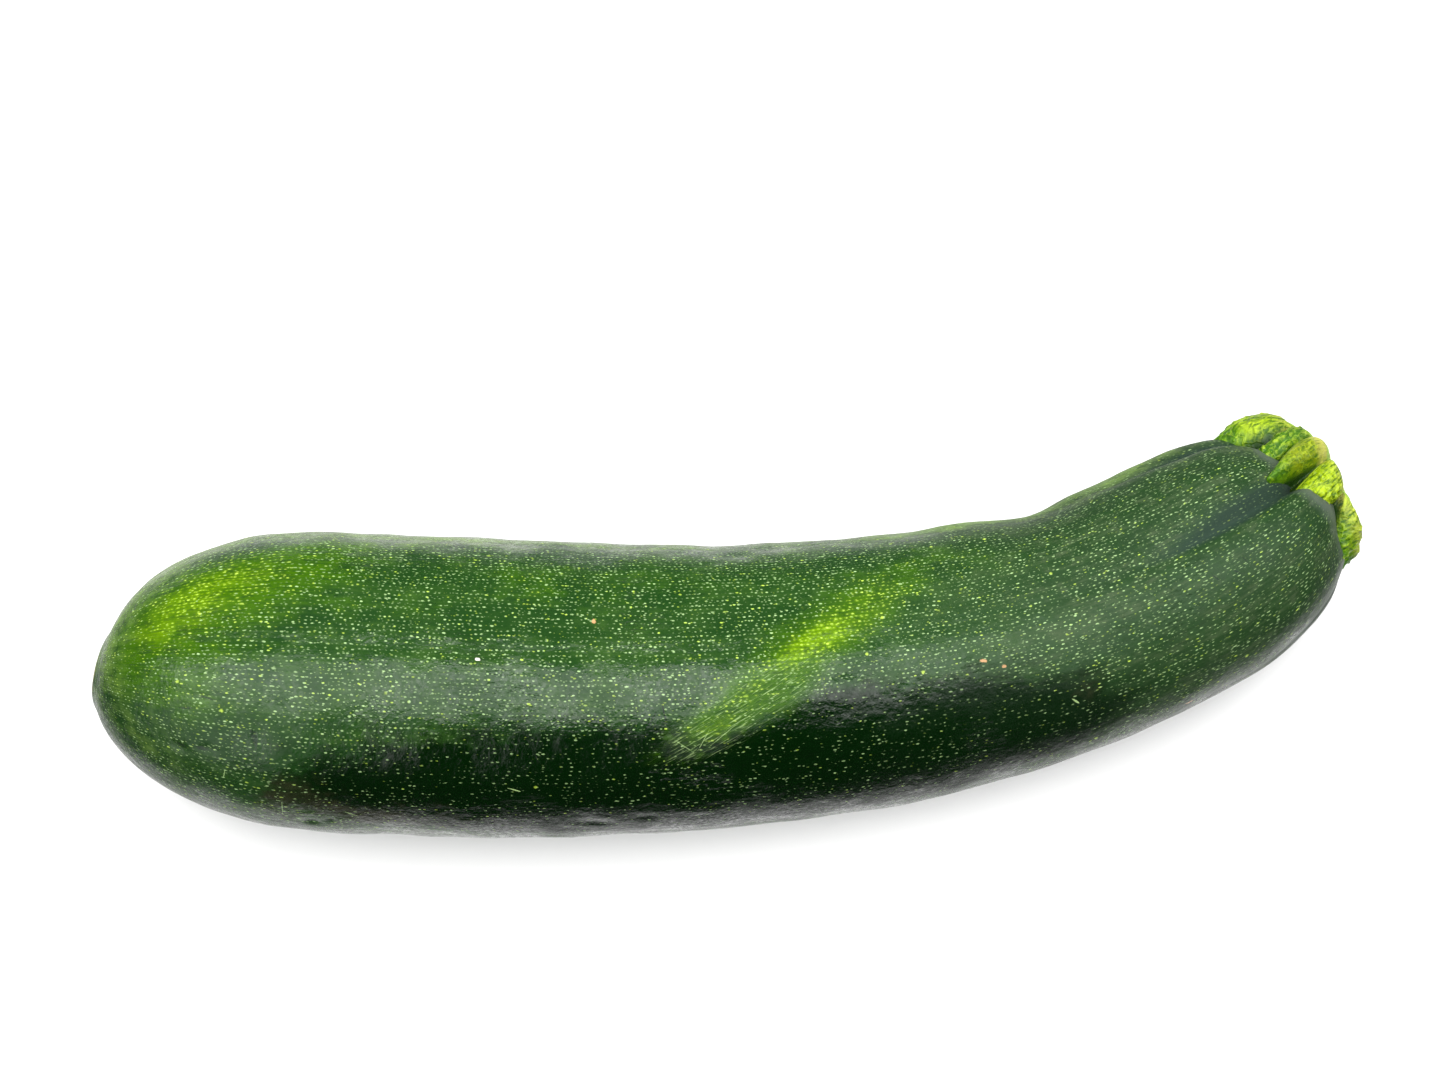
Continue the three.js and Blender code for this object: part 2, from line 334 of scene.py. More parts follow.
# A sheet of share (0 to 1 from pole to pole) and turn (about the axis) that a formula wraps into a body.
# Its seam lies a quarter turn below the right-hand side, so underneath.
def openSheet(rows, columns, mapName):
    grid = addNode("GeometryNodeMeshGrid", {
        "Size X": 1.0, "Size Y": 1.0, "Vertices X": rows, "Vertices Y": columns})
    sheet = storeOn(grid.outputs["Mesh"], mapName, grid.outputs["UV Map"], "FLOAT2", "CORNER")
    place = Field(addNode("GeometryNodeInputPosition").outputs[0])
    x, y, _ = place.parts()
    return sheet, x + 0.5, (y + 0.25) * (2 * pi)


def closeSheet(sheet, place):
    scaled = addNode("ShaderNodeVectorMath", {"Vector": place, "Scale": mm}, operation="SCALE")
    moved = addNode("GeometryNodeSetPosition", {
        "Geometry": sheet, "Position": scaled.outputs[0]})
    merged = addNode("GeometryNodeMergeByDistance", {
        "Geometry": moved.outputs[0], "Distance": mergeWithin * mm})
    # Wrapped this way the sheet shows its inner side, so its faces are turned to point outwards.
    return addNode("GeometryNodeFlipFaces", {"Mesh": merged.outputs[0]}).outputs[0]


axis = {
    "axisLength": 210.05,
    "startHeading": radians(-3.43),
    "bend": radians(44.81),
    "bendPower": 2.72,
    "axisPoints": 400,
}
shoulderCount = 5
valleyTurn = radians(84)
nearFirstValley = (0.5, 0.9)  # cosines of the turn away from it

fruit = {
    "rows": 430,
    "columns": 224,
    "blossomShare": 0.215,
    "stemShare": 0.19,
    "bellyRadius": 24.7,
    "neckRadius": 20.0,
    "narrowsFrom": 0.28, "narrowsTo": 1.02,
    "blossomLength": 39.9,
    "stemLength": 31.0, "stemSquareness": 3.25,
    "shoulderSkew": radians(20),
    "valleySharpness": 1.6,
    "toneSharpness": 1.6,
    "steepSharpness": 5.0,
    "gentleSharpness": 1.3,
    "trunkDepth": 0.014,
    "stemDepth": 0.095,
    "deepestExtra": 0.9, "deepestTurn": radians(62), "deepensFrom": 0.77, "deepening": 1.25,
    "crestRise": 1.05, "riseBase": 0.7, "riseTurn": radians(130),
    "slumpDepth": 1.7, "slumpTurn": radians(138), "slumpHalfTurn": radians(14),
    "valleyDip": 2.4,
    "otherDips": 0.2,
    "crestRadius": 0.5,
    "bellyHeight": 0.4, "bellyAt": 42.0, "bellyHalfLength": 32.0,
    "pinchDepth": 1.33, "pinchAt": 164.0, "pinchTurn": radians(15), "pinchHalfLength": 9.0,
    "pinchHalfTurn": radians(55),
    "cheekDepth": 2.86, "cheekAside": 6.4, "cheekHalfWidth": 11.0, "cheekHalfHeight": 11.0,
    "scarRadius": 5.6, "scarDishDepth": 0.9, "scarDishRadius": 3.9, "scarRimHeight": 0.4,
    "scarRimWidth": 1.3, "scarKnobHeight": 0.7, "scarKnobRadius": 1.5, "scarEdgeOutside": 1.2,
    "scarEdgeInside": 0.4,
    "restDepth": 0.6,
    "lumpHeight": 0.22, "lumpSink": 0.6, "lumpsPerMm": 0.085,
    "dimpleHeight": 0.07, "dimplesPerMm": 0.26,
    "flutingHeight": 0.05, "flutesPerMm": 0.45, "fluteStretch": 0.06,
}

# Height, waves along, waves round and start of each long swelling.
swellings = [(0.07, 3.3, 2, 0.4), (0.07, 7.1, -3, 2.1), (0.06, 11.7, 4, 4.4), (0.05, 17.3, -5, 1.3)]

# Small knocks: how far along the axis, turn, half length, half width and depth.
knocks = [
    (31.6, 119.8, 1.6, 1.9, 0.35), (18.3, 131.8, 1.2, 0.8, 0.4), (23.2, 128.8, 1.3, 0.8, 0.4),
    (21.9, 106.8, 2.6, 0.5, 0.22), (19.4, 112.0, 2.2, 0.5, 0.2), (39.3, 165.4, 1.4, 0.9, 0.5),
    (42.4, 163.0, 0.8, 0.7, 0.35), (108.7, 32.2, 3.2, 1.4, 0.3), (114.5, 26.0, 2.4, 1.2, 0.25),
    (84.5, 161.3, 3.0, 1.0, 0.3), (92.0, 158.0, 2.0, 0.9, 0.25), (101.0, 104.0, 1.2, 3.2, 0.25),
    (62.0, 103.0, 1.5, 2.6, 0.25), (72.0, 92.0, 1.3, 2.2, 0.2), (125.0, 101.0, 3.5, 1.4, 0.35)]

# Where each tone of skin lies: how far along the axis, turn, half length, half width, tilt and strength.
tones = {
    "fresh": [
        (24, 60, 17, 11, 0, 1.0), (10, 88, 9, 12, 0, 0.7), (22, 104, 12, 8, 0, 0.5),
        (38, 40, 14, 7, -10, 0.5), (122, 80, 21, 5.6, 146, 1.1), (108, 107, 13, 3.4, 150, 0.8),
        (66, 58, 30, 9, 0, 0.28),
        (95, 50, 26, 8, 4, 0.2), (165, 55, 30, 8, 4, 0.15), (150, 66, 18, 7, 4, 0.1),
        (60, 235, 26, 10, 20, 0.6), (150, -30, 30, 9, 160, 0.7), (96, 290, 24, 6, 150, 0.6),
        (14, 200, 16, 12, 0, 0.6)],
    "bright": [
        (18.5, 62, 7, 6, 150, 0.8), (28, 52, 6, 5, 0, 0.4), (13, 78, 5, 4, 20, 0.45),
        (119.5, 84, 6, 2.2, 152, 1.7), (129, 70, 9, 4, 145, 0.45), (108.5, 102, 3, 1.8, 150, 0.55),
        (103.5, 115, 4, 1.8, 160, 0.7), (58, 238, 10, 5, 20, 0.5), (148, -32, 12, 4, 160, 0.6)],
    # The dark lower flank, laid where that side is turned from the light: partly the skin's own darker green,
    # partly painted shade.
    "darkGreenAndShade": [
        (72, 142, 36, 11, 0, 1.7), (112, 146, 30, 11, 0, 1.8), (141, 134, 20, 10, 0, 1.7),
        (164, 152, 20, 8, 0, 0.3), (150, 225, 50, 9, 0, 0.5), (40, 270, 40, 9, 0, 0.4),
        (126, 108, 9, 5, 0, 0.45), (176, 86, 22, 3, 0, 0.3)],
    "brown": [(50, 158, 24, 6, 4, 0.55), (34, 140, 10, 7, 0, 0.3), (163, 128, 12, 6, 0, 0.25)],
    "torn": [(110, 105, 14, 3.7, 150, 1.1), (101, 119, 5, 3, 160, 0.8)],
    # Painted rim light: pale green along the top edge and round the blossom end, where the limb catches light
    # from behind, and a painted sheen low on the blossom end.
    "paintedRimLight": [
        (38, 7, 45, 8.5, 0, 1.15), (110, 7, 45, 8, 0, 0.8), (165, 8, 30, 8, 0, 0.75), (2, 55, 6, 30, 0, 0.7),
        (10, 26, 9, 11, 0, 0.75), (10, 140, 11, 11, 0, 0.3)],
    "leathery": [
        (137, 98, 16, 7, 0, 1.0), (22, 112, 9, 6, 0, 0.8), (100, 104, 14, 7, 0, 0.7),
        (46, 160, 20, 5, 0, 0.6)],
}

stalk = {
    "rows": 200,
    "columns": 360,
    "rootShare": 0.05,
    "rimShare": 0.74,
    "core": 8.2, "coreSpread": 1.8, "coreReach": 8.0,
    "wallAcross": 1.2, "wallSlope": 1.5,
    "widestAt": 2.0,
    "edgeRounding": 0.8, "edgeDepth": 1.6,
    "scallop": 1.6,
    "dish": 0.5,
    "rootDepth": 9.0, "rootRadius": 8.0,
    "cutLevel": 7.6, "cutSlope": -0.13, "slantLevel": 5.9, "slantSlope": 0.38, "cutRounding": 1.2,
    "rimFall": 8,
    "rootTaper": 0.2,
    "rindFrom": 0.93,
    "unevenness": 0.35, "unevenSink": 0.7, "swellsPerMm": 0.3,
    "wartHeight": 0.5, "wartRadius": 0.52, "wartsPerMm": 0.72,
    "crinkle": 0.8, "crinklesPerMm": 1.1,
    "streakHeight": 0.24, "streakGirth": 8.0, "streakStretch": 0.12, "streaksPerMm": 1.6,
    "lipHeight": 0.1, "lipAt": 0.88, "lipWidth": 0.04,
    "fibreHeight": 0.22, "fibresPerMm": 0.9,
}

# Each rib of the stalk: turn, half width in degrees, crest radius at the cut, how far and over what depth it
# spreads, how far below the axis' end its tip lies, how pointed that is, its lean in degrees per mm, and how
# warty, olive and bright it is.
ribResults = ("radius", "fullest", "across", "warty", "olive", "bright")
bestOf = {key: "best" + key.capitalize() for key in ribResults}
ribKeys = ("turn", "halfTurn", "crest", "spread", "reach", "tip", "point", "lean", "warty", "olive", "bright")
ribs = [dict(zip(ribKeys, values)) for values in (
    (5, 26, 11.1, 5.9, 10, 5.6, 0.42, 0, 0.35, 0.25, 0.62),
    (42, 14, 11, 1.8, 8, 9, 0.3, 0, 0.8, 0.0, 0.05),
    (68, 13.5, 10.9, 5.2, 12, 9.5, 1, 0.25, 0.1, 1.0, 0.3),
    (100, 18.5, 11, 1.8, 7, 9, 0.3, 0, 1.0, 0.1, 1.0),
    (138, 26, 12.3, 2.2, 6, 6, 0.5, 1.2, 0.7, 0.25, 0.65),
    (178, 18, 12.2, 1.6, 6, 9, 0.3, 0, 0.6, 0.3, 0.4),
    (211, 19, 11, 2, 7, 9, 0.3, 0, 0.4, 0.6, 0.5),
    (250, 25, 11, 4.4, 9, 7, 0.8, 0.5, 0.6, 0.2, 0.6),
    (289, 18, 10.8, 2, 7, 9, 0.3, 0, 0.8, 0.5, 0.3),
    (322, 19, 11.2, 4.2, 9, 7, 0.8, 0.3, 0.3, 0.8, 0.5))]


def headingAt(along, knob):
    return knob.startHeading + knob.bend * (along / knob.axisLength) ** knob.bendPower


# The bent axis is walked in small steps, each in its own heading, and the steps are added up.
def axisCurve(knob):
    line = addNode("GeometryNodeCurvePrimitiveLine")
    points = addNode("GeometryNodeResampleCurve", {
        "Curve": line.outputs[0], "Count": knob.axisPoints}, mode="COUNT")
    index = Field(addNode("GeometryNodeInputIndex").outputs[0])
    step = knob.axisLength / (knob.axisPoints - 1)
    heading = headingAt((index + 0.5) * step, knob)
    walked = addNode("GeometryNodeAccumulateField", {
        "Value": vector(heading.cos() * step, heading.sin() * step, 0.0)}, data_type="FLOAT_VECTOR")
    trailing = next(slot for slot in walked.outputs if slot.name == "Trailing" and slot.enabled)
    return addNode("GeometryNodeSetPosition", {
        "Geometry": points.outputs[0], "Position": trailing}).outputs[0]


def aboutAxis(knob, along, height, forward, radius, turn):
    sample = addNode("GeometryNodeSampleCurve", {
        "Curves": axisCurve(knob), "Factor": along / knob.axisLength}, mode="FACTOR")
    x, y, _ = Field(sample.outputs["Position"]).parts()
    heading = headingAt(along, knob)
    sideways = radius * turn.cos()
    return vector(
        x + forward * heading.cos() - sideways * heading.sin(),
        y + forward * heading.sin() + sideways * heading.cos(),
        (height + radius * turn.sin()).atLeast(0.0))


def blank(*names):
    return dict.fromkeys(names, 0.0)


# How far a place lies from a tilted spot, in half lengths and half widths of it.
def fromSpot(knob, crosswise):
    lengthwise = knob.along - knob.atAlong
    tilt = knob.tilt * degree
    long = (lengthwise * tilt.cos() + crosswise * tilt.sin()) / knob.halfLength
    wide = (crosswise * tilt.cos() - lengthwise * tilt.sin()) / knob.halfWidth
    return long, wide


# A soft oval on the skin, for knocks and patches of tone.
def ovalGroup():
    knob = openGroup("oval", blank("along", "turn", *spotKeys), ["amount"], geometryTree)
    halfTurned = (knob.turn - knob.atTurn * degree) * 0.5
    long, wide = fromSpot(knob, halfTurned.sin() * (2 * fruit["bellyRadius"]))
    return closeGroup(amount=bell(long, 1) * bell(wide, 1))


# 1 in the middle of a valley and 0 on the crest of a shoulder. The first valley has a steep and a gentle
# side, and the skew makes the shoulders on its steep side wider than the others.
def valleyAt(turn, knob):
    past = turn - valleyTurn
    skewed = past - knob.shoulderSkew * (1 - past.cos())
    across = (skewed * (shoulderCount / 2)).sin().size()
    steepSide = (skewed * shoulderCount).sin().over(0)
    sided = between(knob.gentleSharpness, knob.steepSharpness, steepSide)
    return (1 - across) ** between(knob.valleySharpness, sided, past.cos().ramp(*nearFirstValley))


def trunkRadius(along, knob):
    narrowing = (along / knob.axisLength).ramp(knob.narrowsFrom, knob.narrowsTo)
    return between(knob.bellyRadius, knob.neckRadius, narrowing)


def fruitTree(finish):
    knob = openGroup("fruit", {**axis, **fruit}, ["Geometry"], geometryTree)
    sheet, share, turn = openSheet(knob.rows, knob.columns, "skinMap")

    # From a share of the skin to a place along the axis, and how full the fruit is there.
    blossomAngle = (share / knob.blossomShare).atMost(1) * (pi / 2)
    stemAngle = ((share - 1 + knob.stemShare) / knob.stemShare).atLeast(0) * (pi / 2)
    trunkShare = 1 - knob.stemShare - knob.blossomShare
    middle = ((share - knob.blossomShare) / trunkShare).atLeast(0).atMost(1)
    squareness = knob.stemSquareness
    closing = stemAngle.cos().atLeast(0)
    corner = (closing ** squareness + stemAngle.sin() ** squareness) ** (-1 / squareness)
    along = (knob.blossomLength * (1 - blossomAngle.cos())
             + middle * (knob.axisLength - knob.blossomLength - knob.stemLength)
             + knob.stemLength * stemAngle.sin() * corner)
    fullness = blossomAngle.sin() * closing * corner

    sheet, known = workedOut(sheet, {
        "along": along, "fullness": fullness, "valley": valleyAt(turn, knob)})
    along, fullness, valley = known["along"], known["fullness"], known["valley"]
    alongShare = along / knob.axisLength
    deepening = alongShare.ramp(knob.deepensFrom, 1) ** knob.deepening
    favoured = 1 + knob.deepestExtra * (turn - knob.deepestTurn).cos()
    depth = between(knob.trunkDepth, knob.stemDepth * favoured, deepening)

    relief = 0.0
    for height, waves, waveRound, start in swellings:
        relief = relief + height * (alongShare * (waves * 2 * pi) + turn * waveRound + start).sin()
    pinch = bell(along - knob.pinchAt, knob.pinchHalfLength)
    pinch = pinch * bell(shortWay(turn - knob.pinchTurn), knob.pinchHalfTurn)
    belly = bell(along - knob.bellyAt, knob.bellyHalfLength)
    relief = relief - knob.pinchDepth * pinch + knob.bellyHeight * belly

    # Finer relief: lumps, dimples, faint lengthwise fluting and the knocks.
    girth = knob.bellyRadius
    roundPlace = vector(along, girth * turn.cos(), girth * turn.sin())
    flutePlace = vector(along * knob.fluteStretch, girth * turn.cos(), girth * turn.sin())
    lumps = swing(roundPlace, knob.lumpsPerMm, 1.0)
    dimples = swing(roundPlace, knob.dimplesPerMm, 2.0)
    flutes = swing(flutePlace, knob.flutesPerMm, 2.0)
    relief = relief + knob.lumpHeight * (lumps - knob.lumpSink) + knob.dimpleHeight * dimples
    relief = relief + knob.flutingHeight * flutes

    def oval(*spot):
        return useGroup("oval", along=along, turn=turn, **dict(zip(spotKeys, spot)))[0]

    for *spot, knockDepth in knocks:
        relief = relief - oval(*spot, 0) * knockDepth

    trunk = trunkRadius(along, knob)
    sheet, known = workedOut(sheet, {"radius": (trunk * (1 - depth * valley) + relief) * fullness})
    radius = known["radius"]

    # The ends: a crown of shoulders at the stalk, a scar and a flat cheek at the blossom end.
    crest = (pi * fullness ** (log(0.5) / log(fruit["crestRadius"]))).sin()
    rise = knob.crestRise * (knob.riseBase + ((turn - knob.riseTurn) * 2).cos())
    slump = knob.slumpDepth * bell(turn - knob.slumpTurn, knob.slumpHalfTurn)
    dip = knob.valleyDip * between(knob.otherDips, 1, (turn - valleyTurn).cos().ramp(*nearFirstValley))
    crown = crest * between(rise - slump, -dip, valley)
    rim = knob.scarRimHeight * bell(radius - knob.scarRadius, knob.scarRimWidth)
    dish = knob.scarDishDepth * bell(radius, knob.scarDishRadius, 4)
    nub = knob.scarKnobHeight * bell(radius, knob.scarKnobRadius)
    cheek = knob.cheekDepth * bell(radius * turn.cos() - knob.cheekAside, knob.cheekHalfWidth)
    cheek = cheek * bell(radius * turn.sin(), knob.cheekHalfHeight)
    cheekFade = (1 - along / knob.blossomLength).atLeast(0)
    atBlossom = share.under(knob.blossomShare)
    atStem = stemAngle.over(0)
    forward = atStem * crown + atBlossom * (cheekFade * cheek - rim - nub + dish)

    # A mask for each tone; among them the dark lower flank is partly painted shade, and the pale rim is
    # painted rim light.
    for tone, places in tones.items():
        amount = 0.0
        for *spot, strength in places:
            amount = amount + oval(*spot) * strength
        sheet = storeOn(sheet, tone, amount)
    scarMask = atBlossom * radius.ramp(
        knob.scarRadius + knob.scarEdgeOutside, knob.scarRadius - knob.scarEdgeInside)
    # Where the painted shade of the valley lies: deepest towards the stalk and on the first valley.
    valleyTone = valley ** knob.toneSharpness * deepening * favoured
    for name, value in {"scar": scarMask, "along": along, "valley": valleyTone}.items():
        sheet = storeOn(sheet, name, value)
    place = aboutAxis(knob, along, trunk - knob.restDepth, forward, radius, turn)
    return closeTree(closeSheet(sheet, place), finish)


# One rib, laid over the ribs before it: where it stands out furthest, its own values win.
def ribGroup():
    knob = openGroup("rib", blank(
        "around", "height", "below", "core", *ribKeys, *bestOf.values()), ribResults, geometryTree)
    reached = (knob.below / knob.reach).atLeast(0).atMost(1)
    crest = knob.crest + knob.spread * (1 - (1 - reached) * (1 - reached))
    width = ((knob.height + knob.tip) / (stalk["widestAt"] + knob.tip)).atLeast(0).atMost(1)
    away = shortWay(knob.around - (knob.turn + knob.lean * knob.below) * degree)
    across = away / degree / knob.halfTurn / (width ** knob.point).atLeast(0.001)
    wall = ((stalk["wallAcross"] - across.size()) * stalk["wallSlope"]).atLeast(0).atMost(0.5)
    lobe = (1 - across * across).atLeast(0).root().atLeast(wall)
    radius = knob.core + (crest - knob.core) * lobe
    wins = radius.over(knob.bestRadius)
    results = {"radius": radius.atLeast(knob.bestRadius), "fullest": lobe.atLeast(knob.bestFullest),
               "across": between(knob.bestAcross, across, wins)}
    for key in ("warty", "olive", "bright"):
        results[key] = between(getattr(knob, bestOf[key]), getattr(knob, key), wins)
    return closeGroup(**results)


# The ribs together at a height over the fruit's end.
def ribsAt(turn, height, knob):
    below = knob.cutLevel - height
    core = knob.core + knob.coreSpread * (below / knob.coreReach).ramp(0, 1)
    best = {"radius": core, **blank(*ribResults[1:])}
    for rib in ribs:
        found = useGroup(
            "rib", around=turn, height=height, below=below, core=core, **rib,
            **{bestOf[key]: best[key] for key in ribResults})
        best = dict(zip(ribResults, found))
    return best


def stalkTree(finish):
    knob = openGroup("stalk", {**axis, **stalk}, ["Geometry"], geometryTree)
    sheet, share, turn = openSheet(knob.rows, knob.columns, "stalkMap")

    def cutHeight(aside):
        level = knob.cutLevel + knob.cutSlope * aside
        return lesser(level, knob.slantLevel + knob.slantSlope * aside, knob.cutRounding)

    # Root, side and top take their shares of the sheet in turn.
    sheet, top = workedOut(sheet, ribsAt(turn, knob.cutLevel, knob))
    drop = knob.edgeRounding + knob.scallop * (1 - top["fullest"])
    rim = cutHeight((top["radius"] - knob.edgeRounding) * turn.cos()) - drop
    sheet, topRibs = workedOut(sheet, ribsAt(turn, rim, knob))
    root = (share / knob.rootShare).atMost(1)
    up = ((share - knob.rootShare) / (knob.rimShare - knob.rootShare)).atLeast(0).atMost(1)
    out = 1 - ((share - knob.rimShare) / (1 - knob.rimShare)).atLeast(0)
    sideHeight = between(-knob.rootDepth, rim, up)
    sheet, side = workedOut(sheet, ribsAt(turn, sideHeight, knob))
    rounding = (1 - (rim - sideHeight) / knob.edgeDepth).atLeast(0) ** 2 * knob.edgeRounding
    sideRadius = between(knob.rootRadius, side["radius"] - rounding, up.ramp(0, knob.rootTaper)) * root
    topRadius = (topRibs["radius"] - knob.edgeRounding) * out
    topHeight = cutHeight(topRadius * turn.cos()) - drop * out ** knob.rimFall
    topHeight = topHeight - knob.dish * (1 - out * out)
    onTop = share.over(knob.rimShare)
    radius = between(sideRadius, topRadius, onTop)
    height = between(sideHeight, topHeight, onTop)
    cutFace = onTop * out.ramp(1.0, knob.rindFrom)

    # Warts, fine streaks up the ribs, a thin lip along each crease and some unevenness.
    wrapped = vector(radius * turn.cos(), radius * turn.sin(), height)
    crinkled = wrapped.shifted(noise(wrapped, knob.crinklesPerMm, 2.0) * knob.crinkle)
    cells = addNode("ShaderNodeTexVoronoi", {
        "Vector": crinkled, "Scale": knob.wartsPerMm, "Randomness": 1.0}, feature="F1")
    wart = (knob.wartRadius - Field(cells.outputs["Distance"])).atLeast(0).ramp(0, 0.4)
    wartMask = wart * side["warty"] * (1 - onTop) * side["fullest"].ramp(0.25, 0.7)
    girth = knob.streakGirth
    streakPlace = vector(turn.cos() * girth, turn.sin() * girth, height * knob.streakStretch)
    streak = swing(streakPlace, knob.streaksPerMm, 3.0)
    lip = bell(side["across"].size() - knob.lipAt, knob.lipWidth) * (1 - onTop)
    uneven = swing(wrapped, knob.swellsPerMm, 2.0)
    raised = knob.wartHeight * wartMask + knob.streakHeight * streak * (1 - cutFace)
    raised = raised + knob.lipHeight * lip + knob.unevenness * (uneven - knob.unevenSink)
    fibre = swing(wrapped, knob.fibresPerMm, 4.0) * cutFace * knob.fibreHeight
    radius = (radius + raised * root * (1 - onTop * (1 - out))).atLeast(0) * share.under(0.9999)
    height = height + fibre * onTop

    for name, value in {
            "rib": side["fullest"], **{key: side[key] for key in ("across", "olive", "bright")},
            "wart": wartMask, "cutFace": cutFace, "level": height, "belowRim": rim - height,
            "middleShare": out}.items():
        sheet = storeOn(sheet, name, value)
    place = aboutAxis(knob, knob.axisLength, endHeight(), height, radius, turn)
    return closeTree(closeSheet(sheet, place), finish)


# The axis lies one trunk radius over the floor, less what is pressed flat.
def endHeight():
    share = (1 - fruit["narrowsFrom"]) / (fruit["narrowsTo"] - fruit["narrowsFrom"])
    narrowing = share * share * (3 - 2 * share)
    return between(fruit["bellyRadius"], fruit["neckRadius"], narrowing) - fruit["restDepth"]


speckle = {
    "rowShift": 9,  # how many cells a row may be pushed along
    "smallest": 0.55,
    "spread": 0.9,
    "edge": (1.25, 0.55),
    "halo": (3.4, 0.6),
}


# Pale dots in lengthwise rows: one chance of a dot in each cell of each row.
def speckleGroup():
    knob = openGroup("speckles", blank(
        "along", "round", "girth", "rows", "spacing", "radius", "stretch", "chance", "wander", "seed"),
        ["mask", "tone", "halo"])
    rowPlace = knob.round * knob.rows
    row = rowPlace.floor()
    shift = addNode("ShaderNodeTexWhiteNoise", {"Vector": vector(row, knob.seed, 0.5)}, noise_dimensions="3D")
    cellPlace = knob.along / knob.spacing + Field(shift.outputs["Value"]) * speckle["rowShift"]
    cell = cellPlace.floor()
    draw = addNode("ShaderNodeTexWhiteNoise", {"Vector": vector(row, cell, knob.seed)}, noise_dimensions="3D")
    first, second, third = Field(draw.outputs["Color"]).parts()
    across = (rowPlace.part() - 0.5 - (first - 0.5) * knob.wander) * knob.girth / knob.rows
    lengthwise = (cellPlace.part() - 0.5 - (second - 0.5) * knob.wander) * knob.spacing
    long = lengthwise / knob.stretch
    radius = knob.radius * (speckle["smallest"] + speckle["spread"] * third)
    reach = (across * across + long * long).root() / radius
    drawn = Field(draw.outputs["Value"]).under(knob.chance)
    return closeGroup(
        mask=reach.ramp(*speckle["edge"]) * drawn, tone=third, halo=reach.ramp(*speckle["halo"]) * drawn)


# A small mark on the skin, turned and with a ragged edge.
def markGroup():
    knob = openGroup("mark", blank("along", "turn", "ragged", *spotKeys), ["mask"])
    long, wide = fromSpot(knob, (knob.turn - knob.atTurn) * (degree * fruit["bellyRadius"]))
    return closeGroup(mask=((long * long + wide * wide).root() + knob.ragged).ramp(1.3, 0.7))


# Fine leathery relief and soft variation, for skin and stalk alike.
def leatherGroup():
    knob = openGroup("leather", {"place": None, **blank("grain", "patches")}, ["relief", "tone"])
    cells = addNode("ShaderNodeTexVoronoi", {"Vector": knob.place, "Scale": knob.grain}, feature="SMOOTH_F1")
    fine = noise(knob.place, knob.grain * 0.8, 3.0, 0.6)
    relief = Field(cells.outputs["Distance"]) * 0.5 + fine * 0.7
    return closeGroup(relief=relief, tone=noise(knob.place, knob.patches, 3.0, 0.55))


def openMaterial(name):
    material = bpy.data.materials.new(name)
    material.use_nodes = True
    tree = bench["tree"] = material.node_tree
    return material, tree.nodes["Principled BSDF"]


def colour(first, second, share):
    node = addNode("ShaderNodeMix", {}, data_type="RGBA", clamp_factor=True)
    slots = {slot.identifier: slot for slot in node.inputs}
    plug(share, slots["Factor_Float"])
    plug(first, slots["A_Color"])
    plug(second, slots["B_Color"])
    return node.outputs["Result"] if node.outputs["Result"].enabled else node.outputs[2]


# Colours over each other, each where its own share says.
def layered(look, base, *layers):
    for tone, share in layers:
        base = colour(base, look[tone], share)
    return base


def summed(masks, shares):
    total = 0.0
    for key, share in shares.items():
        total = total + masks[key] * share
    return total


def attribute(name):
    return Field(addNode("ShaderNodeAttribute", attribute_name=name).outputs["Fac"])


skinLook = {
    "deep": (0.009, 0.036, 0.006, 1),
    "green": (0.027, 0.070, 0.011, 1),
    "fresh": (0.032, 0.094, 0.000, 1),
    "bright": (0.135, 0.255, 0.000, 1),
    "neck": (0.010, 0.028, 0.008, 1),
    "neckStripe": (0.038, 0.062, 0.025, 1),
    # Near-black green for the dark lower flank, partly the skin's own colour and partly painted shade, and
    # for the scratches.
    "darkGreenAndShade": (0.0008, 0.0075, 0.0008, 1),
    # Painted shade along the valley at the neck.
    "valley": (0.013, 0.027, 0.019, 1),
    "shoulderRim": (0.085, 0.105, 0.085, 1),
    "brown": (0.026, 0.025, 0.011, 1),
    # Painted rim light: a pale green that stands in for light catching the limb.
    "paintedRimLight": (0.150, 0.250, 0.048, 1),
    "dot": (0.30, 0.45, 0.19, 1),
    "fibre": (0.36, 0.52, 0.20, 1),
    "crack": (0.003, 0.009, 0.006, 1),
    "goldDot": (0.40, 0.56, 0.06, 1),
    "cork": (0.30, 0.22, 0.11, 1),
    "corkDark": (0.10, 0.065, 0.03, 1),
    "fleck": (0.5, 0.27, 0.12, 1),
    "white": (0.85, 0.80, 0.74, 1),
    "skinLength": 232.0,
    "neckFrom": (128, 170),
    "dullFrom": (106, 168),
    "softFrom": (62, 26),
    "rimFrom": (205.0, 207.4),
    "tornTurn": 105.0,
    "tornSlant": radians(150),
    "weave": (0.3, 3.6),  # waves per mm along the torn fibres and across them
    "roughness": (0.12, 0.18),
    "ior": 1.39,
    "coatRoughness": 0.11,
    "bump": {"Strength": 0.7, "Distance": 0.17 * mm},
}

# Waves per metre, detail and roughness of each noise on the skin.
skinNoises = {
    "ragged": (260, 4.0, 0.65), "wriggle": (2600, 2.0, 0.5), "mottle": (420, 4.0, 0.7),
    "clump": (420, 2.0, 0.5), "gold": (900, 1.0, 0.5), "worn": (45, 2.0, 0.5), "cork": (1400, 4.0, 0.7),
    "waxCloud": (120, 4.0, 0.65), "waxGrain": (1500, 4.0, 0.75), "wrinkles": (170, 5.0, 0.62),
    "fine": (1000, 3.0, 0.6)}

# Waves per mm along the skin, waves round it, start and detail of what runs in rows.
skinRows = {"hairs": (0.16, 190, 0.0, 3.0), "fibres": (0.3, 400, 5.0, 2.0), "smear": (0.09, 42, 0.0, 3.0)}

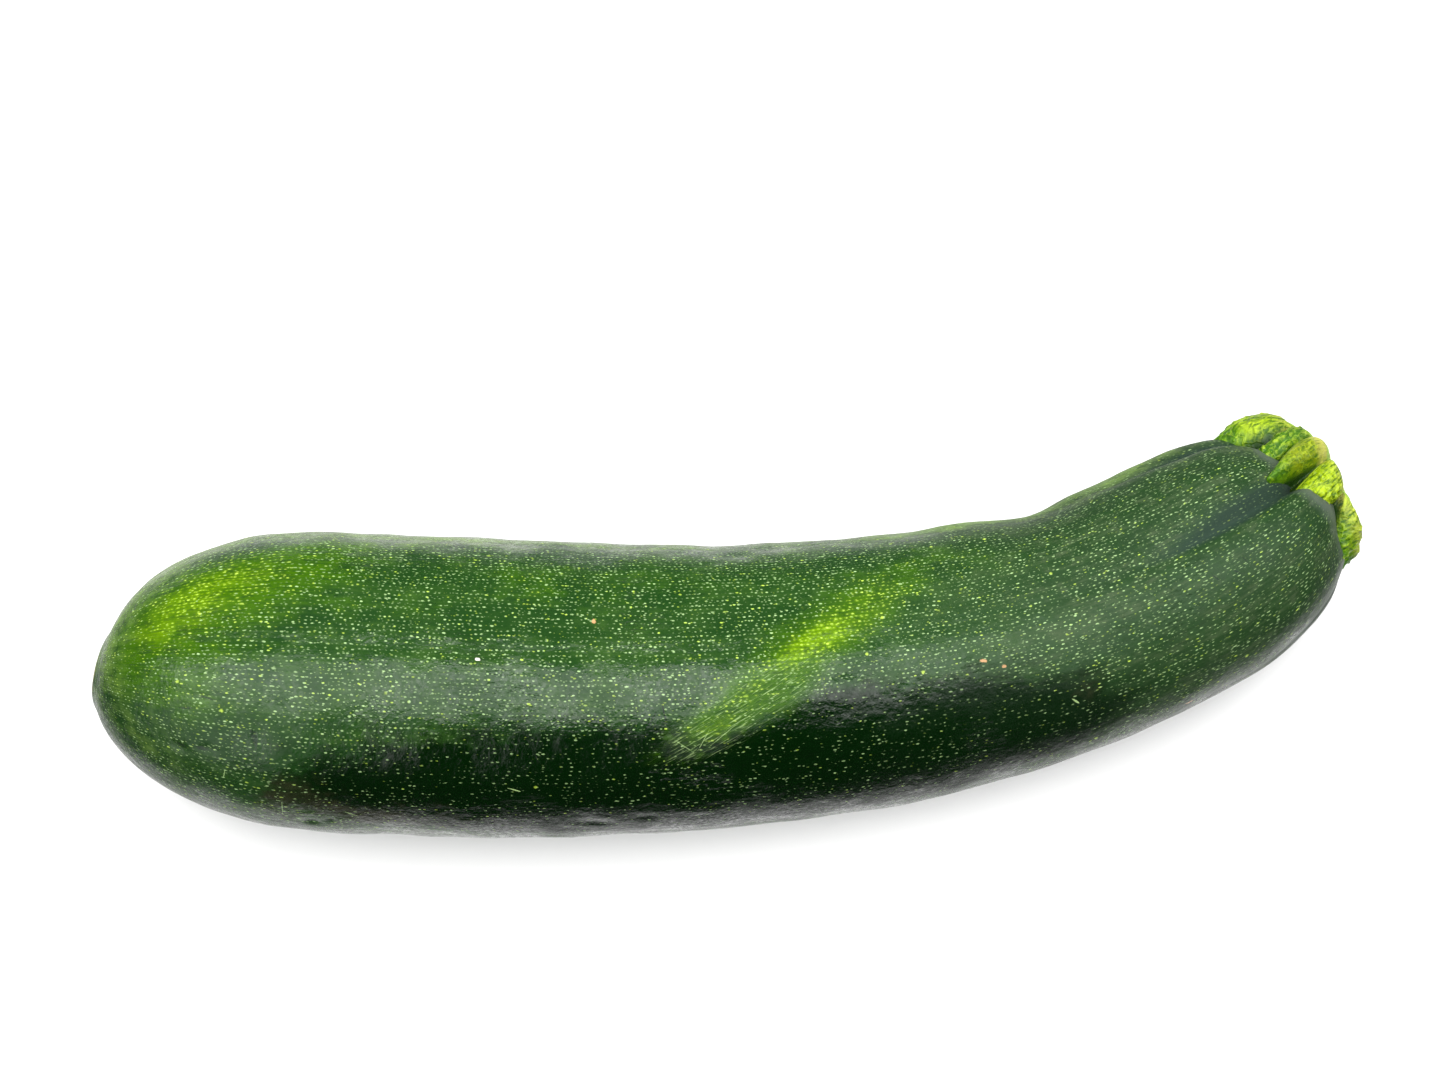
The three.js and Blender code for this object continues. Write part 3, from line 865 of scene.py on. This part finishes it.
# Strength, where it starts and is full, and how ragged its edge is.
toneEdges = {
    "darkGreenAndShade": (1.0, 0.22, 0.8, 0.9), "fresh": (0.96, 0.18, 0.95, 1.0), "bright": (0.6, 0.2, 1.25, 1.5),
    "brown": (0.75, 0.2, 0.9, 1.0), "paintedRimLight": (0.9, 0.05, 1.15, 1.3)}

# What makes the skin rougher, what takes its wax away, and what stands out from it.
skinRoughness = {
    "dull": 0.36, "soft": 0.08, "torn": 0.22, "dots": 0.06, "scar": 0.35, "scratch": 0.1, "valley": 0.3}
waxLoss = {"dull": 0.9, "soft": 0.35, "scar": 1.0, "valley": 1.0, "torn": 0.9}
skinRelief = {"mottle": 0.9, "hairs": 0.2, "scratch": -0.6, "wrinkles": 3.0, "weave": 2.5, "cork": 3.0}

# Rows round, spacing, radius, stretch, chance, wander, seed and strength of each size of dot.
dotSizes = [
    (190.0, 0.86, 0.098, 1.8, 0.80, 0.40, 1.0, 1.0),
    (250.0, 0.85, 0.066, 2.2, 0.60, 0.50, 2.0, 0.7),
    (110.0, 2.70, 0.135, 1.6, 0.12, 0.90, 3.0, 1.0),
]

# Pale fibres, cracks and flecks: along, turn, half length, half width, tilt and strength.
flecks = {
    "fibre": [
        (107.0, 112.5, 2.6, 0.05, 150, 0.4), (104.5, 117.5, 2.5, 0.06, 140, 0.5),
        (101.5, 119.0, 1.8, 0.06, 118, 0.5), (98.5, 121.0, 1.6, 0.06, 40, 0.5),
        (25.8, 140.0, 0.9, 0.07, 100, 0.6), (35.0, 154.0, 2.0, 0.05, 92, 0.6),
        (46.0, 157.0, 1.2, 0.10, 30, 0.6), (72.0, 139.0, 1.0, 0.10, 20, 0.7),
        (159.0, 131.0, 0.8, 0.15, 60, 0.7)],
    "crack": [
        (95.5, 107.0, 1.8, 0.12, 80, 0.8), (93.5, 110.0, 1.6, 0.12, 120, 0.8),
        (22.9, 107.0, 1.4, 0.14, 12, 0.7), (19.6, 112.5, 1.4, 0.12, -10, 0.6),
        (30.8, 121.0, 1.4, 0.50, 75, 0.6), (18.6, 131.0, 0.9, 0.35, 10, 0.6),
        (22.2, 129.5, 1.0, 0.40, 5, 0.6), (39.6, 165.0, 0.8, 0.30, 0, 0.8),
        (42.3, 163.8, 0.7, 0.25, 0, 0.8), (186.0, 103.0, 0.9, 0.12, 70, 0.7),
        (189.5, 106.0, 0.9, 0.12, 60, 0.7), (191.5, 103.0, 0.7, 0.10, 80, 0.7)],
    "fleck": [
        (176.0, 166.0, 0.6, 0.4, 20, 0.9), (146.5, 101.6, 0.5, 0.28, 20, 0.8),
        (149.5, 106.0, 0.35, 0.3, 20, 0.7), (84.5, 71.0, 0.4, 0.28, 70, 0.9)],
    "white": [(66.0, 87.2, 0.42, 0.24, 10, 0.9)],
}


def skinFinish():
    material, shader = openMaterial("courgette skin")
    look = skinLook
    uv = Field(addNode("ShaderNodeUVMap", uv_map="skinMap").outputs[0])
    lengthShare, roundShare, _ = uv.parts()
    place = Field(addNode("ShaderNodeTexCoord").outputs["Object"])
    noises = {key: noise(place, *values) for key, values in skinNoises.items()}
    ragged, wriggle, mottle = [noises[key] - 0.5 for key in ("ragged", "wriggle", "mottle")]
    along = lengthShare * look["skinLength"]
    axial = attribute("along")
    turn = roundShare * 360 - 90
    valley = attribute("valley").ramp(0.12, 0.72)
    neck = axial.ramp(*look["neckFrom"])
    torn = attribute("torn").ramp(0.1, 0.9)
    grain, broad = useGroup("leather", place=place, grain=1250.0, patches=85.0)

    # Pigment: long faint stripes and clouds, then the tones that the form carries, among them the darker
    # lower flank, partly painted shade, and painted rim light along the lit edges.
    stripePlace = vector(along * 0.012, (turn * degree).cos() * 2, (turn * degree).sin() * 2)
    stripes = noise(stripePlace, 2.6, 3.0, 0.6)
    hairs, fibres, smear = [
        noise(vector(along * perMm, roundShare * waves, start), 1.0, detail, 0.6)
        for perMm, waves, start, detail in skinRows.values()]
    cloud = (stripes * 0.8 + broad * 0.5 + ragged * 0.7 + hairs * 0.5).ramp(0.72, 1.25)
    stripe = (hairs * 0.9 + (stripes - 0.5) * 0.5 + ragged * 0.5 + (fibres - 0.5) * 0.5).ramp(0.42, 0.64)
    pigment = layered(
        look, look["deep"], ("green", cloud), ("neck", neck * 0.8), ("neckStripe", stripe * neck * 0.85))
    edge = ragged * 0.9 + (broad - 0.5) * 0.9 + (hairs - 0.5) * 0.5 + (smear - 0.5) * 0.9 + mottle * 0.9
    for tone, (strength, low, high, roughEdge) in toneEdges.items():
        amount = attribute(tone)
        mask = (amount + edge * roughEdge * amount.ramp(0.0, 0.35)).ramp(low, high)
        pigment = colour(pigment, look[tone], mask * strength)
    dim = (mottle + (hairs - 0.5) * 0.6 + (fibres - 0.5) * 0.8).ramp(-0.14, 0.26)
    # The dark lower flank: partly the skin's own darker green, partly painted shade.
    darkGreenAndShade = attribute("darkGreenAndShade").ramp(0.2, 0.9)
    rimmed = (axial + ragged * 3).ramp(*look["rimFrom"])
    # Darker mottling kept off the dark lower flank, a grey rim at the shoulders, and painted shade down the
    # valley.
    pigment = layered(
        look, pigment, ("deep", dim * (1 - darkGreenAndShade) * 0.7), ("shoulderRim", rimmed * 0.7),
        ("valley", valley * 0.85))

    # Pale dots of three sizes in lengthwise rows, dimmer where the skin is dark: in the painted shade of the
    # valley and on the darker lower flank, which is partly painted shade.
    crooked = along + wriggle * 0.4
    crookedRound = roundShare + wriggle * 0.0012 + ragged * 0.002
    clump = noises["clump"].ramp(0.38, 0.62)
    surface = pigment
    dotHeight = 0.0
    bright, fresh = attribute("bright").atMost(1.0), attribute("fresh").atMost(1.0)
    haloTone = colour(look["green"], look["bright"], fresh * 0.3 + bright)
    gold = (noises["gold"] + fresh * 0.06 + bright * 0.3).ramp(0.55, 0.68)
    dotTone = colour(look["dot"], look["goldDot"], gold)
    plain = (1 - valley * 0.7) * (1 - darkGreenAndShade * 0.35) * (1 - rimmed)
    sparse = (1 - darkGreenAndShade * 0.65) * axial.ramp(0.0, 26.0, 0.4, 1.0) * (1 - neck * 0.2)
    for rows, spacing, radius, stretch, chance, wander, seed, strength in dotSizes:
        mask, faintness, halo = useGroup(
            "speckles", along=crooked, round=crookedRound, girth=150.0, rows=rows, spacing=spacing,
            radius=radius * (1 - neck * 0.1), stretch=stretch * (1 + neck * 0.2), chance=sparse * chance,
            wander=wander, seed=seed)
        shown = mask * (0.22 + 0.78 * faintness) * (0.5 + 0.5 * clump) * strength
        surface = colour(surface, haloTone, halo * plain * (0.04 + bright * 0.8))
        surface = colour(surface, dotTone, shown * plain)
        dotHeight = dotHeight + shown

    # Here and there a few dots run together into a yellow crumb.
    crumbs = addNode("ShaderNodeTexVoronoi", {
        "Vector": vector(along, roundShare * 150, 0.0), "Scale": 0.21}, feature="F1")
    crumbDistance = Field(crumbs.outputs["Distance"]) + wriggle * 0.09
    crumbDraw = Field(crumbs.outputs["Color"]).parts()[0]
    crumb = crumbDistance.ramp(0.085, 0.03) * crumbDraw.over(0.55) * clump

    # Where the streak crosses the belly the skin is torn into fine slanting fibres.
    aside = (turn - look["tornTurn"]) * (degree * fruit["bellyRadius"])
    slant, (perMmAlong, perMmAcross) = look["tornSlant"], look["weave"]
    weave = noise(vector(
        (axial * cos(slant) + aside * sin(slant)) * perMmAlong,
        (aside * cos(slant) - axial * sin(slant)) * perMmAcross, 7.0), 1.0, 3.0, 0.6)

    # Scratches: thin bent lines where stretched noise crosses its middle value.
    scratchPlace = vector(along * 0.05, turn * 0.16, 3.0)
    line = (noise(scratchPlace, 1.3, 4.0, 0.7) - 0.5).size().ramp(0.006, 0.0)
    scratch = line * noises["worn"].ramp(0.56, 0.7)
    surface = layered(
        look, surface, ("goldDot", crumb * plain * 0.8), ("fibre", weave.ramp(0.54, 0.7) * torn * 0.55),
        ("deep", weave.ramp(0.46, 0.32) * torn * 0.7), ("darkGreenAndShade", scratch * 0.6))

    for tone, marks in flecks.items():
        for *spot, strength in marks:
            mask, = useGroup(
                "mark", along=axial, turn=turn, ragged=wriggle * 1.5, **dict(zip(spotKeys, spot)))
            surface = colour(surface, look[tone], mask * strength)

    # The corky scar where the flower was.
    scarred = attribute("scar")
    scar = (scarred + ragged * scarred.ramp(0.0, 0.3) * 2.2).ramp(0.25, 0.95)
    cork = colour(look["corkDark"], look["cork"], (noises["cork"] - scar * 0.15).ramp(0.2, 0.6))
    surface = colour(surface, cork, scar)
    plug(surface, shader.inputs["Base Color"])

    masks = {
        "dull": axial.ramp(*look["dullFrom"]) * turn.ramp(135, 165, 1.0, 0.35),
        "soft": axial.ramp(*look["softFrom"]), "torn": torn, "dots": dotHeight, "scar": scar,
        "scratch": scratch, "valley": valley, "mottle": mottle, "hairs": hairs,
        "wrinkles": noises["wrinkles"], "weave": weave * torn, "cork": scar * noises["cork"]}
    smooth = between(*look["roughness"], (broad + ragged * 0.6).ramp(0.35, 0.65))
    plug(smooth + summed(masks, skinRoughness), shader.inputs["Roughness"])
    shader.inputs["IOR"].default_value = look["ior"]
    shader.inputs["Coat Roughness"].default_value = look["coatRoughness"]

    # The wax lies in clouds, worn thin between them, and its grain shows where it shines.
    wax = noises["waxCloud"].ramp(0.32, 0.7) * (0.1 + 1.4 * noises["waxGrain"].ramp(0.36, 0.64))
    for key, share in waxLoss.items():
        wax = wax * (1 - masks[key] * share)
    plug(wax, shader.inputs["Coat Weight"])

    # The skin and its wax each have their own fine grain over the same wrinkles.
    leathery = 0.35 + attribute("leathery").atMost(1.0) * 0.9 + torn * 0.6
    waved = summed(masks, skinRelief)
    for height, slot in (
            (waved + grain * leathery + dotHeight * 0.1, "Normal"),
            (waved + noises["fine"] * leathery * 0.7, "Coat Normal")):
        bump = addNode("ShaderNodeBump", {**look["bump"], "Height": height})
        plug(bump.outputs["Normal"], shader.inputs[slot])
    return material


stalkLook = {
    "rib": (0.040, 0.125, 0.001, 1),
    "olive": (0.175, 0.215, 0.000, 1),
    "bright": (0.300, 0.410, 0.000, 1),
    "tip": (0.055, 0.180, 0.000, 1),
    # A darker green: for the dark streaks and specks, and as painted shade down the sides of each rib.
    "shade": (0.022, 0.075, 0.001, 1),
    # Painted shade in the creases between the ribs.
    "crease": (0.008, 0.028, 0.003, 1),
    "pale": (0.36, 0.50, 0.02, 1),
    "straw": (0.42, 0.41, 0.07, 1),
    "pith": (0.62, 0.68, 0.36, 1),
    "rind": (0.20, 0.34, 0.03, 1),
    "roughness": (0.3, 0.55),
    "ior": 1.45,
    "bump": {"Strength": 0.6, "Distance": 0.14 * mm},
}
stalkRelief = {"grain": 0.6, "streaks": 1.6, "speck": 0.8, "veins": 1.2, "cut": 1.5}


def stalkFinish():
    material, shader = openMaterial("stalk rind")
    look = stalkLook
    place = Field(addNode("ShaderNodeTexCoord").outputs["Object"])
    uv = Field(addNode("ShaderNodeUVMap", uv_map="stalkMap").outputs[0])
    lengthShare, roundShare, _ = uv.parts()
    rib, wart, across, olive, bright, cutFace, level, belowRim, middle = [attribute(key) for key in (
        "rib", "wart", "across", "olive", "bright", "cutFace", "level", "belowRim", "middleShare")]
    grain, broad = useGroup("leather", place=place, grain=1500.0, patches=190.0)
    speck = noise(place, 1100, 3.0, 0.65)

    turn = roundShare * (2 * pi)
    streakPlace = vector(turn.cos() * 3, turn.sin() * 3, lengthShare * 1.1)
    streaks = noise(streakPlace, 9.0, 4.0, 0.65)
    patches = (broad - 0.5) * 1.2
    veins = (noise(place, 330, 3.0, 0.6) - 0.5).size()
    lip = (-across).ramp(0.84, 0.88) * (-across).ramp(0.95, 0.91)
    tan = (belowRim + patches * 4).ramp(2.4, 0.4) * (streaks + speck * 0.5 + olive * 0.15).ramp(0.66, 0.84)
    # The rind's colours: painted shade darkens each rib towards its edges and fills the creases between ribs,
    # over the rind's own streaks, specks, warts and tan.
    rind = layered(
        look, look["rib"],
        ("bright", (bright + patches * 1.2).ramp(0.05, 0.95)),
        ("olive", (olive + patches * 0.5).ramp(0.3, 0.9) * 0.9),
        ("tip", (level + patches * 2).ramp(-0.5, -4.0) * 0.85),
        ("shade", (rib + (streaks - 0.5) * 0.6).ramp(0.8, 0.3) * 0.85),
        ("shade", streaks.ramp(0.53, 0.39) * 0.85),
        ("shade", speck.ramp(0.5, 0.36) * 0.4),
        ("pale", streaks.ramp(0.54, 0.66) * (1 - olive * 0.7) * 0.55),
        ("pale", wart.ramp(0.2, 0.8) * 0.45),
        ("shade", veins.ramp(0.02, 0.06) * veins.ramp(0.12, 0.07) * 0.3),
        ("pale", veins.ramp(0.03, 0.0) * 0.25),
        ("crease", rib.ramp(0.56, 0.3) * 0.95),
        ("pale", lip * broad.ramp(0.35, 0.5) * 0.85),
        ("straw", tan * (0.25 + olive * 0.55)))

    # The cut: green rind outside, a ring of pale bundles, pith inside.
    ringed = (middle * 9 + (broad - 0.5) * 2).sin() * 0.5 + 0.5
    inside = layered(
        look, look["pith"], ("straw", ringed * broad.ramp(0.35, 0.7)), ("rind", middle.ramp(0.72, 0.98)))
    surface = colour(rind, inside, cutFace)
    plug(surface, shader.inputs["Base Color"])

    roughness = between(*look["roughness"], broad.ramp(0.3, 0.7)) + cutFace * 0.2
    plug(roughness, shader.inputs["Roughness"])
    shader.inputs["IOR"].default_value = look["ior"]
    height = summed({
        "grain": grain, "streaks": streaks, "speck": speck, "veins": veins.ramp(0.08, 0.0),
        "cut": cutFace * noise(place, 2200, 4.0, 0.7)}, stalkRelief)
    bump = addNode("ShaderNodeBump", {**look["bump"], "Height": height})
    plug(bump.outputs["Normal"], shader.inputs["Normal"])
    return material


floorLook = {
    "pale": (0.80, 0.80, 0.80, 1),
    "paler": (0.86, 0.86, 0.86, 1),
    "roughness": 0.7,
    "half": 4.0,
    "height": -0.2 * mm,
}


def floorFinish():
    material, shader = openMaterial("pale floor")
    place = Field(addNode("ShaderNodeTexCoord").outputs["Object"])
    surface = colour(floorLook["pale"], floorLook["paler"], noise(place, 3.0, 3.0))
    plug(surface, shader.inputs["Base Color"])
    shader.inputs["Roughness"].default_value = floorLook["roughness"]
    return material


def makeFloor():
    mesh = bpy.data.meshes.new("floor")
    far = floorLook["half"]
    mesh.from_pydata([(-far, -far, 0), (far, -far, 0), (far, far, 0), (-far, far, 0)], [], [(0, 1, 2, 3)])
    floor = bpy.data.objects.new("floor", mesh)
    link(floor)
    floor.location.z = floorLook["height"]
    mesh.materials.append(floorFinish())
    floor.visible_glossy = False  # the studio shows the sheet in reflections instead


# The form is worked out along its own axis, then shifted in plan to where the frame has it.
def boxOf(piece):
    corners = [vertex.co for vertex in piece.data.vertices]
    low = Vector([min(corner[i] for corner in corners) for i in range(3)])
    high = Vector([max(corner[i] for corner in corners) for i in range(3)])
    return low, high


def shiftMesh(piece, shift):
    for vertex in piece.data.vertices:
        vertex.co += shift


makeCamera()
makeLights()
makeStudio()
makeFloor()
print("camera, light and floor made")

groups.update(
    oval=ovalGroup(), rib=ribGroup(), speckles=speckleGroup(), mark=markGroup(), leather=leatherGroup())

skin = meshFromTree("courgetteSkin", fruitTree(skinFinish()), {**axis, **fruit})
print("skin", len(skin.data.polygons), "faces")
stub = meshFromTree("courgetteStalk", stalkTree(stalkFinish()), {**axis, **stalk})
print("stalk", len(stub.data.polygons), "faces")

madeLow, madeHigh = boxOf(skin)
wantedLow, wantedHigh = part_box("fruit")
shift = (Vector(wantedLow) + Vector(wantedHigh) - madeLow - madeHigh) / 2
shift.z = 0
for piece in (skin, stub):
    shiftMesh(piece, shift)
print("shifted in plan by", [round(v * 1000, 3) for v in shift], "mm")

for piece, node, slot in ((skin, "fruit", "skin"), (stub, "stalk", "stalk")):
    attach(piece, body)
    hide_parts(node)
